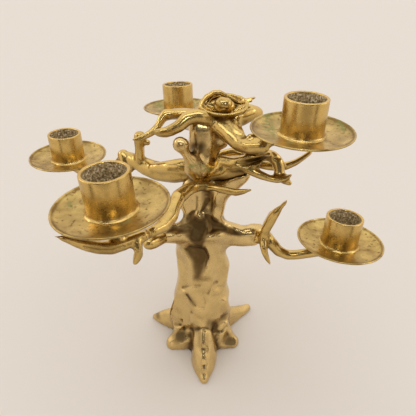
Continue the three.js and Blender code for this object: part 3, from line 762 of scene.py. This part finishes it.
def cut_facet(mesh, surface, outline, up, turn=0, push=0, soft=1.5):
    """Planes off what stands proud inside an outline. The plane faces the camera's side, tilted up
    and turned to the right by degrees, and lies some millimetres below the skin's mean there. Its
    cut fades out over a few pixels at the outline."""
    points = points_of(mesh)
    pixels, depths = pixels_of(points)
    candidates = np.flatnonzero(inside_outline(pixels, outline))
    chosen = seen_from_front(surface, points, normals_of(mesh), candidates)
    if len(chosen) == 0:
        return
    tilt, aside = math.radians(up), math.radians(turn)
    facing = np.array([math.sin(aside) * math.cos(tilt), -math.cos(aside) * math.cos(tilt), math.sin(tilt)])
    middle = points[chosen].mean(0) - facing * push * MM
    eye = np.array(camera.location)
    rays = points[chosen] - eye
    reach = np.clip(((middle - eye) @ facing) / (rays @ facing), 1, None)
    share = np.clip(distance_to_line(pixels[chosen], outline, closed=True) / soft, 0, 1)
    points[chosen] += rays * (reach - 1)[:, None] * share[:, None]
    set_points(mesh, points)


LINE_REACH = 2.2


def draw_line(mesh, surface, line, height, width):
    """Raises a ridge along a line of pixels, or cuts a crease where its height is negative. The
    height is in millimetres and the width in pixels."""
    points, normals = points_of(mesh), normals_of(mesh)
    pixels = pixels_of(points)[0]
    away = distance_to_line(pixels, line)
    chosen = seen_from_front(surface, points, normals, np.flatnonzero(away < LINE_REACH * width))
    if len(chosen):
        heights = height * MM * np.exp(-(away[chosen] / width) ** 2)
        points[chosen] += normals[chosen] * heights[:, None]
        set_points(mesh, points)


def store_verdigris(mesh, name):
    """Marks where verdigris shows: pixels of the picture, with the width of each patch."""
    pixels = pixels_of(points_of(mesh))[0]
    amount = np.zeros(len(pixels))
    for line, width in VERDIGRIS.get(name, []):
        amount = np.maximum(amount, np.exp(-(distance_to_line(pixels, line) / width) ** 2))
    store(mesh, "verdigris", amount)


PAINTED_SHADE_ROUNDS = 4


def store_painted_shade_and_reflection(mesh, name):
    """Marks the painted shade and painted dark reflections: outlines in the picture, the strength of each,
    and the width of its soft edge.
    """
    amount = np.zeros(len(mesh.vertices))
    if name in PAINTED_SHADE_AND_REFLECTION:
        surface = surface_of(mesh)
        points, normals = points_of(mesh), normals_of(mesh)
        pixels = pixels_of(points)[0]
        for outline, strength, soft in PAINTED_SHADE_AND_REFLECTION[name]:
            candidates = np.flatnonzero(inside_outline(pixels, outline))
            chosen = seen_from_front(surface, points, normals, candidates)
            share = np.clip(distance_to_line(pixels[chosen], outline, closed=True) / soft, 0, 1)
            amount[chosen] = np.maximum(amount[chosen], strength * share)
    store(mesh, "painted_shade_and_reflection", softened(amount[:, None], edges_of(mesh), PAINTED_SHADE_ROUNDS)[:, 0])


def surface_of(mesh):
    shape = bmesh.new()
    shape.from_mesh(mesh)
    surface = BVHTree.FromBMesh(shape)
    shape.free()
    return surface


WORN_ROUNDS = 5


def shape_by_picture(mesh, facets, lines):
    """Planes the facets, draws the ridges and creases, and wears their edges a little."""
    for tool, strokes in ((cut_facet, facets), (draw_line, lines)):
        if strokes:
            surface = surface_of(mesh)
            for stroke in strokes.values():
                tool(mesh, surface, **stroke)
    if facets:
        set_points(mesh, softened(points_of(mesh), edges_of(mesh), WORN_ROUNDS))


ROOTS = ["front_root", "front_right_root", "right_root", "rear_root", "left_root", "front_left_root"]
BRANCH = {"slot": "branch_castings", "material": BRANCH_BRASS}

# Each casting: its nodes in groups, each with the radius of its fillets, its rounds of smoothing
# and how much it swells; the nodes that only say where their clay lies; the skin's squares; the
# size and height of the ripples on it; and the fillets and rounds of smoothing that join its
# groups and its clay, where they aren't the usual ones. All but the rounds are in millimetres.
CASTINGS = {
    "trunk_and_roots": {
        "groups": [(["trunk"], 6, 27, 0), (["trunk", *ROOTS], 1.6, 9, 0), (["upper_trunk"], 2, 14, 0)],
        "in_clay": ["saddle_knob"], "slot": "trunk_casting", "material": TRUNK_BRASS, "voxel_mm": 1,
        "ripple_mm": (12, 0.3), "join_mm": 3.5, "join_rounds": 20,
    },
    "lower_left_twig": {
        **BRANCH, "groups": [(["lower_left_stub"], 1, 15, 0)], "voxel_mm": 0.7, "ripple_mm": (7, 0.2),
    },
    "lower_right_limb": {
        **BRANCH, "groups": [(["lower_right_branch"], 1, 25, 0)],
        "in_clay": ["lower_right_up_twig", "lower_right_down_twig"], "voxel_mm": 0.7, "ripple_mm": (8, 0.2),
    },
    "front_limb": {
        **BRANCH, "groups": [
            (["front_branch"], 1.5, 25, 0), (["hanging_twig"], 0.5, 10, 0.2),
            (["front_right_twig"], 0.5, 10, 0.2)],
        "voxel_mm": 0.6, "ripple_mm": (8, 0.25),
    },
    "left_limb": {
        **BRANCH, "groups": [
            (["left_branch"], 1.5, 35, 0), (["left_knob"], 1, 10, 0.5), (["left_back_knob"], 1, 10, 0.3)],
        "voxel_mm": 0.7, "ripple_mm": (9, 0.3),
    },
    "middle_right_limb": {
        **BRANCH, "groups": [
            (["mid_right_branch"], 1, 25, 0), (["mid_right_twig"], 0.5, 8, 0.2)],
        "in_clay": ["mid_right_tip", "mid_right_claw"], "voxel_mm": 0.7, "ripple_mm": (8, 0.25),
    },
    "crown_limb": {
        **BRANCH, "groups": [
            (["crown"], 1.5, 25, 0), (["crown_left_twig"], 0.5, 12, 0.2),
            (["upper_right_branch"], 1, 25, 0)],
        "voxel_mm": 0.7, "ripple_mm": (8, 0.25),
    },
    "crown_back_limb": {
        **BRANCH, "groups": [(["crown_back_twig"], 0.5, 12, 0.1), (["crown_back_twig_tip"], 0.5, 8, 0.1)],
        "voxel_mm": 0.6, "ripple_mm": (7, 0.2),
    },
    "rear_limb": {**BRANCH, "groups": [(["rear_branch"], 1, 25, 0)], "voxel_mm": 0.7, "ripple_mm": (7, 0.2)},
    "crown_nest": {
        **BRANCH, "groups": [(["crown_shell"], 0.5, 8, 0)], "voxel_mm": 0.5, "ripple_mm": (5, 0.3),
        "join_mm": 0, "join_rounds": 4,
    },
    "crown_bud": {
        **BRANCH, "groups": [(["crown_burl"], 0.5, 6, 0)], "voxel_mm": 0.4, "ripple_mm": (4, 0.4),
        "join_mm": 0, "join_rounds": 4,
    },
}


# Clay added to the castings: pixels, with radii in millimetres
CLAY = {
    "trunk_and_roots": {
        "left_shoulder": [(198, 233, 9), (184, 232, 9.5), (172, 233, 8.5), (162, 236, 6.5), (154, 240, 5)],
        "right_shoulder": [(208, 232, 9), (222, 231, 10.5), (232, 232, 9), (243, 234, 7.6),
                           (253, 232.5, 8.2), (259, 231.5, 7)],
        "right_shoulder_ridge": [(212, 218, 4), (224, 224, 4), (236, 230, 3.5)],
        "left_root_join": [(179, 303, 6.3), (176, 313, 6.8), (178, 324, 5.5)],
        "right_root_join": [(223, 300, 5), (225.5, 310, 5.5), (224, 322, 5)],
        "left_strand": [(190, 184, 6), (187, 194, 7), (186, 203, 6.5), (190, 213, 5.5)],
        "right_strand": [(221, 190, 7), (219, 200, 6.5), (217, 212, 6)],
        "saddle_ball": [(180.5, 144.5, 6.1), (181.5, 145, 6.1)],
        "saddle_neck": [(183.5, 151, 3), (187, 156, 3.2), (190.5, 161, 4.6), (194, 167, 6.6),
                        (197, 171, 8)],
        "neck_foot": [(196, 157, 5), (203, 158, 6), (209, 156, 6)],
        "saddle_body": [(192, 168, 6.5), (205, 166, 6.5), (218, 165, 6)],
        "neck_front": [(198.5, 124, 7), (198.5, 137, 7.8), (199.5, 150, 7)],
        "neck_right_side": [(206, 128, 7), (208, 140, 7.5), (206, 152, 6.5)],
        "neck_lobe": [(212, 130, 7), (217, 136, 8), (220, 141, 7)],
    },
    "lower_right_limb": {
        "up_twig": [(263.5, 236, 4), (267, 227, 4.3), (271.5, 219, 4.4), (276, 212.5, 3.7),
                    (279.5, 208.5, 2.3), (282, 206, 1.8), (284.5, 203.5, 1.7), (287, 200.5, 0.8)],
        "down_twig": [(272, 214, 3), (267.5, 224, 3.9), (264.5, 234, 4.1), (263.2, 243, 3.7),
                      (264.5, 252, 3), (267.5, 259, 2.1), (270, 264, 1)],
    },
    "front_limb": {
        "under_pan": [(62, 238, 1.6), (75, 242.5, 2.6), (88, 246, 3.4), (100, 248, 4), (112, 248, 4.2),
                      (124, 244, 4.2), (134, 240, 4), (144, 236, 3.8)],
        "hanging_twig": [(137.5, 243, 3.2), (138.5, 251, 3), (136.5, 258, 2.5), (135, 262.5, 1.7)],
        "arm_by_pan": [(152, 232, 3.6), (163, 226, 4.4), (171, 217, 4.7), (174, 207, 5), (178, 198, 5.4)],
        "arm_to_saddle": [(178, 198, 5.4), (186, 191, 4.9), (195, 186.5, 4.3), (203, 185.5, 3.8)],
        "twig": [(203, 187, 3.4), (213, 187.5, 2.7), (224, 189.5, 2.5), (236, 191.8, 2.2),
                 (244, 191.3, 1.7), (250.5, 190, 1)],
    },
    "left_limb": {
        "end_stub": [(130, 168, 4.4), (125.5, 162, 5.2), (123.5, 155, 5.2)],
        "upright_knob": [(140, 160, 4.6), (139.5, 150, 4.1), (139, 142, 4.1), (139, 136.5, 4.4)],
        "small_ball": [(143, 142, 1.8), (147.5, 142.5, 2.6)],
        "thick_arm": [(154, 168, 4.5), (165, 168, 6.2), (178, 167.5, 7.5), (190, 168, 8)],
    },
    "middle_right_limb": {
        "saddle_root": [(197, 174, 5.5), (205, 173, 6.5), (213, 171, 7.2), (222, 169, 7.5)],
        "thick_side": [(222, 163, 6), (234, 165, 6.2), (246, 162, 5.6), (256, 160, 5)],
        "hook": [(250, 157, 4.6), (258, 156, 4.6), (266, 154.5, 4.5), (272.5, 156.5, 4.7), (277, 161, 4.7),
                 (279, 167, 4.5), (279.5, 174, 4.1), (283.5, 179.5, 3.6), (289.5, 183, 2.2)],
        "low_twig": [(246, 168, 4), (254, 172, 3.8), (262, 175.5, 3.3), (270, 178.5, 2.9), (278, 180, 2.5),
                     (285, 178.5, 2.1), (291, 175, 1.3)],
    },
    "crown_limb": {
        "band": [(152, 131.5, 1.6), (160, 132.5, 3.1), (170, 131, 4.1), (179, 126, 4.7), (187, 118.5, 5.1),
                 (197, 116, 5.6), (208, 118, 6), (214, 122, 6.2), (221, 127, 6.4), (229, 135, 6),
                 (238, 144, 5.2), (250, 147.5, 5.2), (263, 146.5, 5)],
        "fan": [(222, 118, 5), (229, 124, 5), (236, 134, 4.5)],
        "fan_right": [(237, 117, 3.5), (237.5, 126, 3.2), (241, 136, 3.5)],
    },
    "crown_back_limb": {
        "bend": [(186, 113, 3.4), (175, 114, 3.7), (166, 114, 3.8), (161.5, 119, 3.3), (158, 126, 2.8),
                 (151, 132, 2.2), (144, 136, 1.9), (138, 138.5, 1.6), (133, 139.5, 1)],
    },
    "crown_nest": {
        "hood": [(200, 108, 1.6), (202, 102, 1.8), (207, 96.5, 2), (213, 93, 2), (220, 92.5, 1.9),
                 (227, 96, 1.7), (234, 100, 1.5), (240, 103, 1.3)],
        "hood_inner": [(208, 103, 1.2), (211, 98.5, 1.4), (217, 96, 1.5), (225, 97.5, 1.3),
                       (232, 101, 1.1)],
        "lip": [(205, 104.5, 1.4), (212, 107.5, 1.6), (220, 110.5, 1.7), (229, 111.5, 1.7),
                (237, 110.5, 1.5), (244, 107, 1.3), (248, 103, 1.1)],
        "thorn": [(241, 103, 1.4), (246, 101.5, 1.3), (251, 101, 1.0)],
    },
    "crown_bud": {
        "ball": [(222, 103.5, 5), (226, 104, 4.6)],
    },
}
# Strokes that take their depth from their two ends alone
FREE_CLAY = {"hook", "low_twig", "under_pan", "hood", "hood_inner", "lip", "saddle_neck"}

# Facets: outlines of pixels, with each plane's tilt, turn, depth and soft edge
FACETS = {
    "trunk_and_roots": {
        "left_slope": {
            "outline": [(150, 243), (152, 230), (168, 221), (184, 213), (194, 208), (198, 222), (194, 235),
                        (172, 235)],
            "up": 40, "turn": 6, "push": 1.5, "soft": 8},
        "right_slope": {
            "outline": [(203, 212), (213, 215), (226, 222), (240, 229), (250, 236), (238, 239), (220, 236),
                        (205, 238)],
            "up": 42, "turn": 6, "push": 2, "soft": 8},
        "middle_slope": {
            "outline": [(186, 212), (200, 216), (213, 212), (212, 228), (206, 240), (202, 250), (196, 250),
                        (186, 238)],
            "up": 30, "turn": 0, "push": 1.5, "soft": 5},
        "scoop": {
            "outline": [(180, 248), (190, 244), (206, 247), (211, 257), (208, 269), (204, 279), (199, 283),
                        (191, 282), (190.5, 270), (189, 262), (185, 255)],
            "up": 16, "turn": 8, "push": 2, "soft": 2.5},
        "left_side": {
            "outline": [(170, 246), (181, 248), (189, 262), (194, 282), (188, 294), (172, 292)],
            "up": 0, "turn": -34, "push": 0.3, "soft": 5},
        "right_side": {
            "outline": [(209, 246), (228, 248), (236, 270), (232, 292), (212, 292)],
            "up": 0, "turn": 30, "push": 0.3, "soft": 6},
        "middle_plane": {
            "outline": [(184, 280), (206, 276), (219, 280), (212, 300), (206, 312), (192, 310), (182, 292)],
            "up": 5, "turn": 2, "push": 0.5, "soft": 4},
        "left_plane": {
            "outline": [(168, 284), (183, 284), (191, 298), (196, 312), (193, 328), (172, 328), (164, 311)],
            "up": 0, "turn": -30, "push": 0.5, "soft": 5},
        "left_foot_slope": {
            "outline": [(167, 346), (171, 332), (185, 325), (192, 336), (186, 346)],
            "up": 38, "turn": -8, "push": 0.5, "soft": 3},
        "right_foot_slope": {
            "outline": [(220, 342), (226, 330), (239, 337), (238, 349), (222, 349)],
            "up": 38, "turn": 10, "push": 0.5, "soft": 3},
    },
    "middle_right_limb": {
        "dark_side": {
            "outline": [(226, 168), (236, 161), (250, 158), (264, 155), (270, 160), (256, 166), (244, 172),
                        (230, 174)],
            "up": 42, "turn": 0, "push": 0.6, "soft": 4},
    },
}

# Ridges, and creases where the height is negative: lines of pixels
LINES = {
    "trunk_and_roots": {
        "shoulder_ridge": {
            "line": [(211, 215), (224, 222), (234, 227), (241, 231)],
            "height": 0.9, "width": 1.6},
        "ledge": {"line": [(183, 287), (192, 286), (200, 286)], "height": -0.9, "width": 1.5},
        "slant": {"line": [(217, 282), (212, 288), (208, 294)], "height": -1.1, "width": 1.7},
        "nick": {"line": [(186, 295), (190, 300), (195, 306)], "height": -1.4, "width": 1.6},
        "low_nick": {"line": [(191, 312), (196, 317), (200, 319)], "height": -0.7, "width": 1.4},
        "faint_fold": {"line": [(204, 295), (205, 303)], "height": -0.5, "width": 1.8},
        "left_plane_edge": {"line": [(181, 288), (187, 300), (190, 312)], "height": 0.6, "width": 1.2},
        "trunk_hem": {
            "line": [(180, 325), (186, 329), (196, 329), (205, 328), (213, 331), (220, 331), (227, 326)],
            "height": -0.9, "width": 1.3},
        "left_root_seam": {"line": [(190, 332), (191, 342), (190, 351)], "height": -0.9, "width": 1.2},
        "right_root_seam": {"line": [(213, 334), (216, 341), (216, 350)], "height": -0.9, "width": 1.2},
        "crack": {"line": [(218, 332), (215, 337), (216, 341)], "height": -0.6, "width": 0.9},
        "front_root_first_bump": {"line": [(204, 334), (204, 343)], "height": 1.6, "width": 3.4},
        "front_root_second_bump": {"line": [(204, 356), (204, 360)], "height": 1.5, "width": 3.4},
        "front_root_third_bump": {"line": [(204.5, 368), (204.5, 371)], "height": 1.3, "width": 3.2},
        "front_root_last_bump": {"line": [(204.5, 378), (204.5, 381)], "height": 1.3, "width": 3.2},
        "strand_gap": {"line": [(197, 198), (196, 210), (190, 215)], "height": -1.5, "width": 1.6},
        "strand_gap_right": {"line": [(208, 200), (204, 207), (200.5, 213)], "height": -1.5, "width": 1.5},
        "strand_fold": {"line": [(211, 205), (211, 220)], "height": -1.2, "width": 1.4},
    },
    "middle_right_limb": {
        "top_ridge": {
            "line": [(213, 157), (224, 158), (236, 160), (246, 157), (257, 153)],
            "height": 0.6, "width": 1.5},
        "claw_seam": {"line": [(271, 161), (275, 158), (280, 158)], "height": -0.8, "width": 1.2},
    },
    "front_limb": {
        "arm_ridge": {"line": [(168, 191), (178, 190), (188, 186), (198, 182)], "height": 0.5, "width": 2},
        "under_pan_groove": {
            "line": [(84, 247), (98, 250), (112, 250), (124, 246)],
            "height": -0.7, "width": 1.3},
    },
}

# Verdigris: lines of pixels with the width of the patch
VERDIGRIS = {
    "trunk_and_roots": [
        ([(192, 166), (202, 167), (208, 170)], 4),
    ],
    "upper_right_pan": [
        ([(268, 116), (269, 126), (273, 133)], 5),
        ([(290, 141), (304, 142)], 3),
        ([(340, 122), (346, 130)], 4),
    ],
    "front_left_pan": [
        ([(69, 204), (74, 206)], 3),
        ([(120, 222), (128, 219)], 2),
    ],
    "rear_pan": [
        ([(158, 104), (162, 108)], 4),
        ([(193, 103), (199, 104)], 3),
    ],
}

# Painted shade and painted dark reflections: outlines of pixels, each with its strength and the width of its
# soft edge
PAINTED_SHADE_AND_REFLECTION = {
    "trunk_and_roots": [
        ([(182, 249), (190, 245), (205, 247), (210, 257), (207, 267), (203, 277), (200, 282), (192, 281),
          (191, 270), (190, 262), (186, 255)], 0.9, 4),
        ([(158, 236), (170, 227), (184, 221), (187, 214), (192, 209), (200, 217), (209, 209), (214, 219),
          (224, 223), (234, 228), (245, 235), (240, 238), (230, 236), (219, 233), (209, 236), (205, 244),
          (202, 250), (196, 247), (189, 242), (184, 235), (174, 233), (164, 236)], 0.95, 2.5),
        ([(203, 326), (207, 318), (217, 318), (221, 328), (213, 332), (205, 331)], 0.6, 3),
        ([(184, 292), (188, 292), (197, 305), (194, 308), (189, 303)], 0.7, 2),
        ([(170, 335), (177, 329), (187, 332), (186, 343), (173, 346)], 0.5, 3),
        ([(223, 340), (229, 333), (236, 340), (234, 348), (223, 348)], 0.5, 3),
        ([(154, 312), (160, 310), (161, 320), (156, 320)], 0.5, 2),
        ([(190, 158), (187, 148), (193, 135), (203, 129), (210, 134), (206, 146), (199, 157)], 0.4, 4),
        ([(188, 171), (197, 169), (205, 173), (206, 182), (200, 188), (191, 186), (187, 179)], 0.25, 3),
        ([(197, 325), (211, 333), (211, 353), (208, 355), (200, 355), (197, 345)], 0.25, 2),
    ],
    "middle_right_limb": [
        ([(224, 170), (233, 160), (250, 156), (266, 159), (266, 167), (254, 172), (238, 175)], 0.35, 3),
    ],
    "front_limb": [
        ([(196, 180), (206, 179), (211, 186), (205, 192), (197, 190)], 0.6, 2.5),
        ([(80, 245), (95, 244), (125, 243), (130, 250), (112, 256), (90, 253)], 0.4, 3),
    ],
    "crown_limb": [
        ([(200, 112), (214, 114), (226, 118), (238, 120), (236, 127), (224, 126), (210, 121)], 0.45, 3),
    ],
}

# The picture keeps the colours as they are lit
bpy.context.scene.view_settings.view_transform = "Standard"

make_world()
make_floor()
make_lights()
for seed, seat in enumerate(SEAT_NAMES):
    make_pan(seat, seed)
    make_cup(seat, seed)
    screw = frame["nodes"][seat + "_screw"]
    screw.data.materials.clear()
    screw.data.materials.append(SCREW_BRASS)
for casting_name, settings in CASTINGS.items():
    make_casting(casting_name, **settings)
